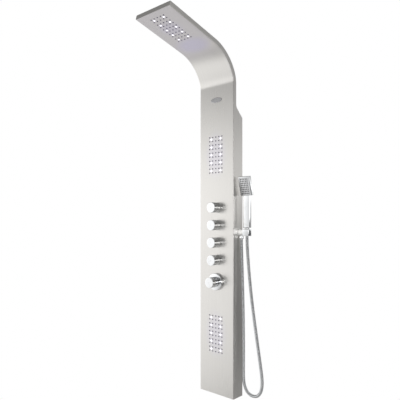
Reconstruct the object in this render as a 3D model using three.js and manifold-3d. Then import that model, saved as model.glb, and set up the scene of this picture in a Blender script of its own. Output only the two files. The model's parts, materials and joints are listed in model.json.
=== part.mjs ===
// Rainfall shower column: a welded stainless shell that hangs on a wall, with a rain head at the top,
// two sets of body jets, four diverter knobs, a temperature knob and a hand shower on a hose.
// Millimetres, +Z up. The wall is the plane y = 0, the front faces -y, and the origin is the centre
// of the upper wall bracket's back face. Heights in this file are measured from the bottom edge.

import * as THREE from 'three';
import { mergeGeometries, mergeVertices } from 'three/addons/utils/BufferGeometryUtils.js';
import Module from 'manifold-3d';

// Shell
const WIDTH = 200;
const DEPTH = 67;
const SHEET = 1.5;
const HANGER_HEIGHT = 1180;
const LOWER_BRACKET_HEIGHT = 150;
const NECK = 20;
const SHOULDER_LOW = 1278;
const SHOULDER_HIGH = 1335;
const SHOULDER_TOP_PULL = 19;
const SHOULDER_LOW_PULL = 28;
const BEND_START = 1428;
const FIRST_RADIUS = 100;
const FIRST_ANGLE = THREE.MathUtils.degToRad(25);
const SECOND_RADIUS = 182;
const CANOPY_RISE = THREE.MathUtils.degToRad(14.2);
const CANOPY_LENGTH = 280.25;
const BEND_ANGLE = Math.PI / 2 - CANOPY_RISE;
const BEND_STEPS = 14;
const BACK_PLATE = 40;
const FLANGE = 14;
const GAP = 0.3;
const DRAIN = 10;
const BADGE_HEIGHT = 1365;
const BADGE_SPAN = 64;
const BADGE_RISE = 24;

// Spray modules: the rain head and both body jets are the same module
const NOZZLE_PITCH = 18.4;
const NOZZLE_COLUMNS = 5;
const NOZZLE_ROWS = 10;
const NOZZLE_HOLE = 6;
const LED_HOLE = 9;
const UPPER_JETS_HEIGHT = 1112;
const LOWER_JETS_HEIGHT = 279;
const RAIN_FROM_TIP = 115;
const FIELD_OFFSET = -4;
const MODULE_WIDTH = 94;
const MODULE_LENGTH = 188;
const MAT_FRONT = 1.8;
const MAT_BACK = 3.8;
const CHAMBER_FRONT = 4.1;
const CHAMBER_BACK = 12.1;
const BOARD_FRONT = 12.4;
const BOARD_BACK = 14;
const BOARD_WIDTH = 76;
const BOARD_LENGTH = 166;
const SPIGOT_DIAMETER = 7;
const SPIGOT_LENGTH = 10;

// Controls
const KNOB_DIAMETER = 48;
const KNOB_REACH = 41;
const TEMPERATURE_REACH = 53;
const DIVERTERS = [
  { name: 'rain', height: 866 },
  { name: 'upper_jets', height: 785 },
  { name: 'lower_jets', height: 704 },
  { name: 'hand_outlet', height: 623 },
];
const TEMPERATURE_HEIGHT = 522;
const FLANGE_DIAMETER = 79;
const FLANGE_THICKNESS = 12;
const KNOB_STEM = 16;
const KNOB_WALL = 3;
const KNOB_HOLLOW = 20;
const SPINDLE_DIAMETER = 8;
const SPINDLE_HOLE = 14;
const VALVE_WIDTH = 40;
const VALVE_BOTTOM = 498;
const VALVE_TOP = 892;
const VALVE_BACK = -22;
const VALVE_FRONT = -54;
const VALVE_MIDDLE = (VALVE_FRONT + VALVE_BACK) / 2;
const BOSS_FRONT = -60;
const BOSS_DIAMETER = 36;
const BORE = 27;
const BORE_END = -34;
const SUPPLY_PORT_HEIGHT = 530;
const SUPPLY_PORT_END = 38;
const UPPER_PORT_HEIGHT = 850;
const LOWER_PORT_HEIGHT = 590;
const OUTLET_PORT_END = 34;

// Hand shower, its holder and its hose
const HOLDER_X = 143;
const HOLDER_Y = -23;
const HOLDER_TOP = 768;
const HOLDER_BOTTOM = 737;
const HOLDER_END = 159;
const HOLDER_DEPTH = 22;
const SOCKET_DIAMETER = 18;
const SLOT_WIDTH = 14.8;
const SHANK_DIAMETER = 20;
const HAND_PORT_HEIGHT = (HOLDER_TOP + HOLDER_BOTTOM) / 2;
const NUT_BOTTOM = 720.7;
const OUTLET_X = 112;
const HANDLE_WIDTH = 42;
const HANDLE_THICKNESS = 14;
const HANDLE_BOTTOM = 774;
const HANDLE_TOP = 929;
const HEAD_HEIGHT = 918;
const HEAD_WIDTH = 60;
const HEAD_LENGTH = 87;
const HEAD_THICKNESS = 17;
const HEAD_LEAN = THREE.MathUtils.degToRad(14);
const FACE_WIDTH = 48;
const FACE_LOW = 5;
const FACE_HIGH = 81;
const FACE_DEPTH = 4;
const HOSE_DIAMETER = 14;
const PIPE_DIAMETER = 12;
const INLET_HOSE_DIAMETER = 13;
const INLET_SPACING = 150;
const INLET_HEIGHT = 430;
const INLET_NUT_FRONT = -23.7;
const INLET_NUT_BACK = -8;

const CONTROL_HEIGHTS = [...DIVERTERS.map((diverter) => diverter.height), TEMPERATURE_HEIGHT];

const wasm = await Module();
wasm.setup();

const finish = (color, roughness, metalness) =>
  new THREE.MeshStandardMaterial({ color, roughness, metalness });
const FINISHES = {
  steel: () => finish(0xc9c7c3, 0.34, 1),
  zinc: () => finish(0x9fa3a6, 0.5, 1),
  chrome: () => finish(0xe9ebee, 0.08, 1),
  brass: () => finish(0xc2a05a, 0.35, 1),
  ceramic: () => finish(0xe6e2d6, 0.5, 0),
  plastic: () => finish(0xb9bcc0, 0.55, 0),
  silicone: () => finish(0x9a96b4, 0.6, 0),
  board: () => finish(0xdfe2ff, 0.3, 0),
  braid: () => finish(0xa9acae, 0.35, 1),
};

const shower = new THREE.Group();
const column = new THREE.Group();
column.position.z = -HANGER_HEIGHT;
shower.add(column);

function add(name, geometry, kind, parent = column) {
  const mesh = new THREE.Mesh(geometry, FINISHES[kind]());
  mesh.name = name;
  parent.add(mesh);
  return mesh;
}

// Boolean helpers

function solidOf(geometry) {
  const bare = geometry.clone();
  bare.deleteAttribute('normal');
  bare.deleteAttribute('uv');
  const merged = mergeVertices(bare, 1e-4);
  const vertProperties = new Float32Array(merged.attributes.position.array);
  const triVerts = new Uint32Array(merged.index.array);
  return new wasm.Manifold(new wasm.Mesh({ numProp: 3, vertProperties, triVerts }));
}

function geometryOf(solid) {
  const mesh = solid.getMesh();
  const geometry = new THREE.BufferGeometry();
  const positions = new THREE.BufferAttribute(new Float32Array(mesh.vertProperties), 3);
  geometry.setAttribute('position', positions);
  geometry.setIndex(new THREE.BufferAttribute(new Uint32Array(mesh.triVerts), 1));
  return geometry;
}

function joined(...geometries) {
  return geometryOf(geometries.map(solidOf).reduce((whole, piece) => whole.add(piece)));
}

function cut(geometry, ...tools) {
  return geometryOf(tools.map(solidOf).reduce((left, tool) => left.subtract(tool), solidOf(geometry)));
}

// Basic shapes, placed where they are used

function block(x0, x1, y0, y1, z0, z1) {
  const geometry = new THREE.BoxGeometry(x1 - x0, y1 - y0, z1 - z0);
  return geometry.translate((x0 + x1) / 2, (y0 + y1) / 2, (z0 + z1) / 2);
}

function rodAlongY(diameter, y0, y1, x, z, sides = 16) {
  const geometry = new THREE.CylinderGeometry(diameter / 2, diameter / 2, y1 - y0, sides);
  return geometry.translate(x, (y0 + y1) / 2, z);
}

function rodAlongX(diameter, x0, x1, y, z, sides = 16) {
  const geometry = new THREE.CylinderGeometry(diameter / 2, diameter / 2, x1 - x0, sides);
  return geometry.rotateZ(-Math.PI / 2).translate((x0 + x1) / 2, y, z);
}

function rodAlongZ(diameter, z0, z1, x, y, sides = 16) {
  const geometry = new THREE.CylinderGeometry(diameter / 2, diameter / 2, z1 - z0, sides);
  return geometry.rotateX(Math.PI / 2).translate(x, y, (z0 + z1) / 2);
}

// A profile of [radius, y] points turned about a line along y. An open profile runs from its back
// to its front on the axis; a closed one runs round the section the same way.
function turnedAboutY(profile, x, z, sides = 24) {
  const points = profile.map(([radius, y]) => new THREE.Vector2(radius, y));
  return new THREE.LatheGeometry(points.reverse(), sides).translate(x, 0, z);
}

// A profile of [radius, z] points turned about an upright line; the points run from bottom to top.
function turnedAboutZ(profile, x, y, sides = 16) {
  const points = profile.map(([radius, z]) => new THREE.Vector2(radius, z));
  return new THREE.LatheGeometry(points, sides).rotateX(Math.PI / 2).translate(x, y, 0);
}

// An outline drawn in the (y, z) plane and extruded across the width.
const SIDEWAYS = new THREE.Matrix4().makeBasis(
  new THREE.Vector3(0, 1, 0),
  new THREE.Vector3(0, 0, 1),
  new THREE.Vector3(1, 0, 0),
);

function acrossWidth(points, x0, x1) {
  const shape = new THREE.Shape(points);
  const geometry = new THREE.ExtrudeGeometry(shape, { depth: x1 - x0, bevelEnabled: false });
  return geometry.applyMatrix4(SIDEWAYS).translate(x0, 0, 0);
}

// A rounded rectangle drawn in the (x, y) plane and extruded upward.
function roundedBar(width, thickness, radius, z0, z1, x, y) {
  const shape = new THREE.Shape();
  const a = width / 2 - radius;
  const b = thickness / 2 - radius;
  shape.absarc(a, b, radius, 0, Math.PI / 2);
  shape.absarc(-a, b, radius, Math.PI / 2, Math.PI);
  shape.absarc(-a, -b, radius, Math.PI, Math.PI * 1.5);
  shape.absarc(a, -b, radius, Math.PI * 1.5, Math.PI * 2);
  const settings = { depth: z1 - z0, bevelEnabled: false, curveSegments: 3 };
  return new THREE.ExtrudeGeometry(shape, settings).translate(x, y, z0);
}

function tube(points, diameter, sides, steps) {
  const path = new THREE.CatmullRomCurve3(points.map((point) => new THREE.Vector3(...point)));
  const ring = [];
  for (let side = 0; side < sides; side += 1) {
    const angle = (2 * Math.PI * side) / sides;
    ring.push(new THREE.Vector2(Math.cos(angle), Math.sin(angle)).multiplyScalar(diameter / 2));
  }
  return new THREE.ExtrudeGeometry(new THREE.Shape(ring), { steps, extrudePath: path });
}

// Side profile: every line that follows the front face is an inset of this one

const point2 = (y, z) => new THREE.Vector2(y, z);

// The bend is a tight arc and then a wider one that ends at the canopy's slope

const outward = (angle) => point2(Math.cos(angle), Math.sin(angle));
const firstCentre = point2(-DEPTH - FIRST_RADIUS, BEND_START);
const secondCentre = outward(FIRST_ANGLE).multiplyScalar(FIRST_RADIUS - SECOND_RADIUS).add(firstCentre);

function bendPoint(inset, angle) {
  const tight = angle < FIRST_ANGLE;
  const radius = (tight ? FIRST_RADIUS : SECOND_RADIUS) + inset;
  return outward(angle).multiplyScalar(radius).add(tight ? firstCentre : secondCentre);
}

function canopyPoint(inset, distance) {
  const along = point2(-Math.cos(CANOPY_RISE), Math.sin(CANOPY_RISE));
  return along.multiplyScalar(distance).add(bendPoint(inset, BEND_ANGLE));
}

function canopyLine(inset, length = CANOPY_LENGTH) {
  const points = [];
  for (let step = 0; step <= BEND_STEPS; step += 1) {
    points.push(bendPoint(inset, (BEND_ANGLE * step) / BEND_STEPS));
  }
  points.push(canopyPoint(inset, length));
  return points;
}

function shoulderLine(inset) {
  const curve = new THREE.CubicBezierCurve(
    point2(NECK - DEPTH - inset, SHOULDER_HIGH),
    point2(NECK - DEPTH - inset, SHOULDER_HIGH - SHOULDER_TOP_PULL - inset),
    point2(-SHOULDER_LOW_PULL - inset, SHOULDER_LOW + SHOULDER_LOW_PULL - inset),
    point2(-inset, SHOULDER_LOW - inset),
  );
  return curve.getPoints(8);
}

// Shell

const inside = WIDTH / 2 - SHEET;
const moduleFrames = {
  rain: new THREE.Group(),
  upper_jets: new THREE.Group(),
  lower_jets: new THREE.Group(),
};

function placeModules() {
  const rainCentre = canopyPoint(0, CANOPY_LENGTH - RAIN_FROM_TIP);
  moduleFrames.rain.position.set(FIELD_OFFSET, rainCentre.x, rainCentre.y);
  moduleFrames.rain.rotation.x = BEND_ANGLE;
  moduleFrames.upper_jets.position.set(FIELD_OFFSET, -DEPTH, UPPER_JETS_HEIGHT);
  moduleFrames.lower_jets.position.set(FIELD_OFFSET, -DEPTH, LOWER_JETS_HEIGHT);
  for (const frame of Object.values(moduleFrames)) {
    frame.updateMatrix();
    column.add(frame);
  }
}

function ledPlaces() {
  const places = [];
  for (let row = 0; row < NOZZLE_ROWS / 2; row += 1) {
    for (const side of [-1, 1]) {
      places.push([1.5 * side * NOZZLE_PITCH, (2 * row - NOZZLE_ROWS / 2 + 1) * NOZZLE_PITCH]);
    }
  }
  return places;
}

function nozzlePlaces() {
  const places = [];
  for (let row = 0; row < NOZZLE_ROWS; row += 1) {
    for (let place = 0; place < NOZZLE_COLUMNS; place += 1) {
      const x = (place - (NOZZLE_COLUMNS - 1) / 2) * NOZZLE_PITCH;
      places.push([x, (row - (NOZZLE_ROWS - 1) / 2) * NOZZLE_PITCH]);
    }
  }
  return places;
}

function sprayHoles(y0, y1) {
  const holes = nozzlePlaces().map(([x, z]) => rodAlongY(NOZZLE_HOLE, y0, y1, x, z, 5));
  const windows = ledPlaces().map(([x, z]) => rodAlongY(LED_HOLE, y0, y1, x, z, 8));
  return mergeGeometries([...holes, ...windows]);
}

function makeFrontSheet() {
  const outline = [
    point2(-DEPTH, 0),
    ...canopyLine(0),
    ...canopyLine(SHEET).reverse(),
    point2(SHEET - DEPTH, 0),
  ];
  const tools = Object.values(moduleFrames).map((frame) =>
    sprayHoles(-1, SHEET + 1).applyMatrix4(frame.matrix));
  for (const height of CONTROL_HEIGHTS) {
    tools.push(rodAlongY(SPINDLE_HOLE, -DEPTH - 1, SHEET - DEPTH + 1, 0, height, 12));
  }
  add('front_sheet', cut(acrossWidth(outline, -inside, inside), ...tools), 'steel');
}

function makeSidePlates() {
  const outline = [
    point2(-DEPTH, 0),
    ...canopyLine(0),
    ...canopyLine(NECK).reverse(),
    ...shoulderLine(0),
    point2(0, 0),
  ];
  const flangeTop = SHOULDER_LOW - BACK_PLATE - 2;
  const left = joined(
    acrossWidth(outline, -WIDTH / 2, -inside),
    block(-inside - 0.5, -inside + FLANGE, -SHEET, 0, 0, flangeTop),
  );
  const right = joined(
    acrossWidth(outline, inside, WIDTH / 2),
    block(inside - FLANGE, inside + 0.5, -SHEET, 0, 0, flangeTop),
  );
  const holeDiameter = SHANK_DIAMETER + 1;
  const outletHole = rodAlongX(holeDiameter, inside - 1, WIDTH / 2 + 1, HOLDER_Y, HAND_PORT_HEIGHT);
  add('side_plate_left', left, 'steel');
  add('side_plate_right', cut(right, outletHole), 'steel');
}

function makeRearCover() {
  const outer = [...canopyLine(NECK).reverse(), ...shoulderLine(0), point2(0, SHOULDER_LOW - BACK_PLATE)];
  const inner = [
    ...canopyLine(NECK - SHEET).reverse(),
    ...shoulderLine(SHEET),
    point2(-SHEET, SHOULDER_LOW - BACK_PLATE),
  ];
  add('rear_cover', acrossWidth([...outer, ...inner.reverse()], -inside, inside), 'steel');
}

function makeHeadEndCap() {
  const low = SHEET + GAP;
  const high = NECK - SHEET - GAP;
  const outline = [
    canopyPoint(low, CANOPY_LENGTH - SHEET),
    canopyPoint(low, CANOPY_LENGTH),
    canopyPoint(high, CANOPY_LENGTH),
    canopyPoint(high, CANOPY_LENGTH - SHEET),
  ];
  add('head_end_cap', acrossWidth(outline, -inside, inside), 'steel');
}

function makeBottomPlate() {
  const plate = block(-inside, inside, SHEET - DEPTH, -SHEET - GAP, 0, SHEET);
  const drain = rodAlongZ(DRAIN, -1, SHEET + 1, 0, -DEPTH / 2, 12);
  add('bottom_plate', cut(plate, drain), 'steel');
}

function makeBadge() {
  const profile = [[0, -GAP], [0.5, -GAP], [0.5, -1.4], [0.46, -2], [0, -2]];
  const plate = turnedAboutY(profile, 0, 0).scale(BADGE_SPAN, 1, BADGE_RISE);
  const badge = add('badge_plate', plate, 'chrome');
  badge.position.set(0, -DEPTH, BADGE_HEIGHT);
}

// Wall brackets: a plate with a hook on the wall, and a bar welded in the shell that hangs on it

function makeBrackets() {
  const hook = [
    [0, -17], [0, 17], [-3, 17], [-3, -7], [-12, -7], [-12, 9], [-15, 9], [-15, -10], [-3, -10], [-3, -17],
  ];
  const bar = [[-8.5, -6.6], [-8.5, 22], [-30, 22], [-30, 19], [-11.5, 19], [-11.5, -6.6]];
  const places = { upper: HANGER_HEIGHT, lower: LOWER_BRACKET_HEIGHT };
  for (const [name, height] of Object.entries(places)) {
    const level = new THREE.Group();
    level.position.z = height;
    column.add(level);
    const plate = acrossWidth(hook.map(([y, z]) => point2(y, z)), -70, 70);
    const holes = [-50, 50].map((x) => rodAlongY(5.5, -4, 1, x, 8, 8));
    add(`${name}_wall_bracket`, cut(plate, ...holes), 'zinc', level);
    const edge = inside - GAP;
    add(`${name}_hanger_bar`, acrossWidth(bar.map(([y, z]) => point2(y, z)), -edge, edge), 'zinc', level);
  }
}

// Spray module: nozzle mat against the sheet, water chamber behind it, LED board at the back

function makeSprayModule(name) {
  const frame = moduleFrames[name];
  const halfWidth = MODULE_WIDTH / 2;
  const halfLength = MODULE_LENGTH / 2;
  const windows = (y0, y1) =>
    mergeGeometries(ledPlaces().map(([x, z]) => rodAlongY(LED_HOLE, y0, y1, x, z, 6)));
  const mat = block(-halfWidth, halfWidth, MAT_FRONT, MAT_BACK, -halfLength, halfLength);
  add(`${name}_nozzle_mat`, cut(mat, windows(0, CHAMBER_FRONT)), 'silicone', frame);

  const middle = (CHAMBER_FRONT + CHAMBER_BACK) / 2;
  const chamber = block(-halfWidth, halfWidth, CHAMBER_FRONT, CHAMBER_BACK, -halfLength, halfLength);
  const spigotEnd = halfLength + SPIGOT_LENGTH;
  const spigot = rodAlongZ(SPIGOT_DIAMETER, halfLength - 1, spigotEnd, -FIELD_OFFSET, middle, 12);
  if (name !== 'lower_jets') {
    spigot.translate(0, 0, 1 - halfLength - spigotEnd);
  }
  const wells = windows(CHAMBER_FRONT - 1, CHAMBER_BACK + 1);
  add(`${name}_chamber`, cut(joined(chamber, spigot), wells), 'plastic', frame);

  const boardSide = BOARD_WIDTH / 2;
  const board = block(-boardSide, boardSide, BOARD_FRONT, BOARD_BACK, -BOARD_LENGTH / 2, BOARD_LENGTH / 2);
  const pillars = ledPlaces().map(([x, z]) => rodAlongY(LED_HOLE - 1.6, 0.4, BOARD_FRONT + 0.5, x, z, 6));
  add(`${name}_led_board`, joined(board, mergeGeometries(pillars)), 'board', frame);
}

// Mixing valve with five cartridge bores, the cartridges, their nuts, spindles and knobs

function makeValve() {
  const side = VALVE_WIDTH / 2;
  const root = side - 1;
  const pieces = [
    block(-side, side, VALVE_FRONT, VALVE_BACK, VALVE_BOTTOM, VALVE_TOP),
    rodAlongX(20, -SUPPLY_PORT_END, -root, VALVE_MIDDLE, SUPPLY_PORT_HEIGHT),
    rodAlongX(20, root, SUPPLY_PORT_END, VALVE_MIDDLE, SUPPLY_PORT_HEIGHT),
    rodAlongX(16, -OUTLET_PORT_END, -root, VALVE_MIDDLE, UPPER_PORT_HEIGHT),
    rodAlongX(16, -OUTLET_PORT_END, -root, VALVE_MIDDLE, LOWER_PORT_HEIGHT),
    rodAlongX(16, root, OUTLET_PORT_END, BORE_END, HAND_PORT_HEIGHT),
    ...CONTROL_HEIGHTS.map((height) => rodAlongY(BOSS_DIAMETER, BOSS_FRONT, VALVE_FRONT + 1, 0, height)),
  ];
  const bores = CONTROL_HEIGHTS.map((height) => rodAlongY(BORE, BOSS_FRONT - 1, BORE_END, 0, height));
  add('valve_body', cut(joined(...pieces), ...bores), 'brass');

  const seat = VALVE_TOP + GAP;
  const generator = [
    [0, seat], [9, seat], [9, 897], [15, 897], [15, 930], [9, 930], [9, 938], [0, 938],
  ];
  add('led_generator', turnedAboutZ(generator, 0, VALVE_MIDDLE), 'plastic');
}

function makeControl(name, height, reach) {
  const cartridge = cut(
    rodAlongY(BORE - 2 * GAP, BOSS_FRONT + GAP, BORE_END - GAP, 0, height),
    rodAlongY(SPINDLE_DIAMETER + 3, BOSS_FRONT - 1, BORE_END - 10, 0, height, 12),
  );
  add(`${name}_cartridge`, cartridge, 'ceramic');
  const nut = cut(
    rodAlongY(BOSS_DIAMETER + 1, BOSS_FRONT - 4.7, BOSS_FRONT - GAP, 0, height, 6),
    rodAlongY(SPINDLE_HOLE, BOSS_FRONT - 6, BOSS_FRONT + 1, 0, height, 12),
  );
  add(`${name}_cartridge_nut`, nut, 'brass');
  const spindleFront = -DEPTH - reach + 12;
  const spindle = rodAlongY(SPINDLE_DIAMETER, spindleFront, BORE_END - 12, 0, height, 10);
  add(`${name}_spindle`, spindle, 'brass');

  const back = name === 'temperature' ? -DEPTH - FLANGE_THICKNESS - 1.5 : -DEPTH - 1;
  const front = -DEPTH - reach;
  const rim = KNOB_DIAMETER / 2;
  const hole = SPINDLE_DIAMETER / 2 + 0.4;
  const stem = KNOB_STEM / 2;
  const wall = rim - KNOB_WALL;
  const floor = back - KNOB_HOLLOW;
  const profile = [
    [0, spindleFront - GAP], [hole, spindleFront - GAP], [hole, back], [stem, back], [stem, floor],
    [wall, floor], [wall, back], [rim, back], [rim, front + 1.5], [rim - 1.5, front], [0, front],
  ];
  add(`${name}_knob`, turnedAboutY(profile, 0, height), 'chrome');
}

function makeTemperatureFlange() {
  const rim = FLANGE_DIAMETER / 2;
  const back = -DEPTH - GAP;
  const front = -DEPTH - FLANGE_THICKNESS;
  const hole = SPINDLE_HOLE / 2 + 3;
  const profile = [
    [hole, back], [rim, back], [rim, front + 2], [rim - 2, front], [hole, front], [hole, back],
  ];
  add('temperature_flange', turnedAboutY(profile, 0, TEMPERATURE_HEIGHT, 28), 'chrome');
}

// Pipes inside the shell

function makePipes() {
  const canopyRun = canopyLine(10).slice(2, -1).map((point) => [0, point.x, point.y]);
  const spigotDepth = (CHAMBER_FRONT + CHAMBER_BACK) / 2;
  const spigotReach = MODULE_LENGTH / 2 + SPIGOT_LENGTH + GAP;
  const rainEnd = canopyPoint(spigotDepth, CANOPY_LENGTH - RAIN_FROM_TIP - spigotReach);
  const rainPipe = [
    [0, VALVE_MIDDLE, 938.3], [0, VALVE_MIDDLE, 955], [26, -41, 990], [40, -43, 1040], [40, -43, 1200],
    [28, -48, 1265],
    [8, -56, 1325], [0, -57, 1370], ...canopyRun, [0, rainEnd.x, rainEnd.y],
  ];
  add('rain_pipe', tube(rainPipe, PIPE_DIAMETER, 8, 38), 'braid');

  const jetDepth = -DEPTH + spigotDepth;
  const upperEnd = UPPER_JETS_HEIGHT - spigotReach - 0.5;
  const upperPipe = [
    [-OUTLET_PORT_END - 0.6, VALVE_MIDDLE, UPPER_PORT_HEIGHT], [-44, VALVE_MIDDLE, UPPER_PORT_HEIGHT],
    [-58, -39, 862], [-62, -41, 892], [-52, -48, 930], [-22, -56, 962], [-4, jetDepth, 982],
    [0, jetDepth, upperEnd - 10], [0, jetDepth, upperEnd],
  ];
  add('upper_jets_pipe', tube(upperPipe, PIPE_DIAMETER, 8, 15), 'braid');

  const lowerEnd = LOWER_JETS_HEIGHT + spigotReach + 0.5;
  const lowerPipe = [
    [-OUTLET_PORT_END - 0.6, VALVE_MIDDLE, LOWER_PORT_HEIGHT], [-46, VALVE_MIDDLE, LOWER_PORT_HEIGHT],
    [-68, VALVE_MIDDLE, 583], [-84, -40, 560], [-90.5, -43, 510], [-90.5, -48, 450], [-84, -53, 420],
    [-55, -57, 408], [-20, -58.5, 406], [-3, jetDepth, 401], [0, jetDepth, lowerEnd + 6],
    [0, jetDepth, lowerEnd],
  ];
  add('lower_jets_pipe', tube(lowerPipe, PIPE_DIAMETER, 8, 20), 'braid');

  const handPipe = [
    [OUTLET_PORT_END + 0.6, BORE_END, HAND_PORT_HEIGHT], [41, BORE_END, HAND_PORT_HEIGHT],
    [64, HOLDER_Y, HAND_PORT_HEIGHT], [72.4, HOLDER_Y, HAND_PORT_HEIGHT],
  ];
  add('hand_outlet_pipe', tube(handPipe, PIPE_DIAMETER, 8, 8), 'braid');

  for (const [name, side] of [['hot', -1], ['cold', 1]]) {
    const x = (side * INLET_SPACING) / 2;
    const inletPipe = [
      [side * (SUPPLY_PORT_END + 0.6), VALVE_MIDDLE, SUPPLY_PORT_HEIGHT],
      [side * 46, VALVE_MIDDLE, SUPPLY_PORT_HEIGHT], [side * 66, VALVE_MIDDLE, 512], [x, -39, 470],
      [x, -38, 446], [x, -35, 434], [x, -30, INLET_HEIGHT], [x, INLET_NUT_FRONT - GAP, INLET_HEIGHT],
    ];
    add(`${name}_inlet_hose`, tube(inletPipe, INLET_HOSE_DIAMETER, 8, 14), 'braid');
    const nut = cut(
      rodAlongY(29, INLET_NUT_FRONT, INLET_NUT_BACK, x, INLET_HEIGHT, 6),
      rodAlongY(19, INLET_NUT_FRONT + 4.7, INLET_NUT_BACK + 1, x, INLET_HEIGHT, 12),
    );
    add(`${name}_inlet_nut`, nut, 'chrome');
  }
}

// Holder with the hose outlet: a block on the right side with an upright socket open to the right

function makeHolder() {
  const back = HOLDER_Y + HOLDER_DEPTH / 2;
  const front = HOLDER_Y - HOLDER_DEPTH / 2;
  const low = HOLDER_BOTTOM - 1;
  const high = HOLDER_TOP + 1;
  const body = joined(
    block(WIDTH / 2 + GAP, HOLDER_END, front, back, HOLDER_BOTTOM, HOLDER_TOP),
    rodAlongX(SHANK_DIAMETER, 73, WIDTH / 2 + 1, HOLDER_Y, HAND_PORT_HEIGHT),
  );
  const socket = rodAlongZ(SOCKET_DIAMETER, low, high, HOLDER_X, HOLDER_Y, 20);
  const half = SLOT_WIDTH / 2;
  const slot = block(HOLDER_X, HOLDER_END + 1, HOLDER_Y - half, HOLDER_Y + half, low, high);
  add('holder_block', cut(body, socket, slot), 'chrome');

  const lockNut = cut(
    rodAlongX(SHANK_DIAMETER + 10, inside - 8, inside - GAP, HOLDER_Y, HAND_PORT_HEIGHT, 6),
    rodAlongX(SHANK_DIAMETER + 0.8, inside - 9, inside + 1, HOLDER_Y, HAND_PORT_HEIGHT),
  );
  add('holder_lock_nut', lockNut, 'brass');

  const top = HOLDER_BOTTOM - GAP;
  const outlet = [[0, NUT_BOTTOM], [8, NUT_BOTTOM], [10, NUT_BOTTOM + 3.3], [10, top], [0, top]];
  add('hose_outlet_nut', turnedAboutZ(outlet, OUTLET_X, HOLDER_Y), 'chrome');
}

function makeHandShower() {
  const seat = HOLDER_TOP + GAP;
  const top = HANDLE_BOTTOM - GAP;
  const cone = [[0, 736], [7.6, 736], [8.4, seat], [11, seat], [11, top - 1.2], [10, top], [0, top]];
  add('hose_cone_nut', turnedAboutZ(cone, HOLDER_X, HOLDER_Y), 'chrome');

  const hand = new THREE.Group();
  hand.position.set(HOLDER_X, HOLDER_Y - HANDLE_THICKNESS / 2 - 1, HEAD_HEIGHT);
  hand.rotation.x = HEAD_LEAN;
  hand.updateMatrix();
  column.add(hand);
  const headBar = (margin) => roundedBar(
    HEAD_WIDTH + 2 * margin, HEAD_THICKNESS + 2 * margin, 3 + margin,
    -margin, HEAD_LENGTH, 0, HEAD_THICKNESS / 2,
  );
  const side = FACE_WIDTH / 2;
  const recess = block(-side, side, -1, FACE_DEPTH, FACE_LOW, FACE_HIGH);
  add('hand_shower_head', cut(headBar(0), recess), 'chrome', hand);
  const face = block(
    GAP - side, side - GAP, 0.4, FACE_DEPTH - GAP, FACE_LOW + GAP, FACE_HIGH - GAP,
  );
  add('hand_shower_face', face, 'plastic', hand);

  const grip = roundedBar(
    HANDLE_WIDTH, HANDLE_THICKNESS, 4, HANDLE_BOTTOM, HANDLE_TOP, HOLDER_X, HOLDER_Y,
  );
  const clearance = headBar(GAP).applyMatrix4(hand.matrix);
  add('hand_shower_handle', cut(grip, clearance), 'chrome');
}

const HOSE_ROUTE = [
  [112, -23, 720.4], [112.2, -23, 690], [114, -23, 640], [117, -23, 560], [119.6, -23, 480],
  [121.6, -23, 400], [123, -23, 320], [123.8, -23.2, 240], [124, -23.5, 165], [124.2, -24, 110],
  [128.5, -24.9, 70], [144, -28, 42], [166, -32, 30.5], [190, -36.5, 30.2], [213, -41, 39],
  [232, -44.6, 62], [239.8, -46, 94], [238.5, -46.2, 130], [232.5, -46, 168], [225.5, -45.5, 208],
  [217.5, -44.5, 250], [208, -43, 300], [194, -40, 370], [181, -37, 440], [169, -33.5, 510],
  [158.5, -29.5, 580], [150, -26, 642], [145, -23.9, 688], [143.2, -23.1, 718], [143, -23, 735.5],
];

placeModules();
makeFrontSheet();
makeSidePlates();
makeRearCover();
makeHeadEndCap();
makeBottomPlate();
makeBadge();
makeBrackets();
for (const name of Object.keys(moduleFrames)) {
  makeSprayModule(name);
}
makeValve();
for (const diverter of DIVERTERS) {
  makeControl(diverter.name, diverter.height, KNOB_REACH);
}
makeControl('temperature', TEMPERATURE_HEIGHT, TEMPERATURE_REACH);
makeTemperatureFlange();
makePipes();
makeHolder();
makeHandShower();
add('shower_hose', tube(HOSE_ROUTE, HOSE_DIAMETER, 8, 56), 'braid');

export default shower;
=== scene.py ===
import json
import math

import bmesh
import bpy
from mathutils import Matrix, Vector


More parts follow.
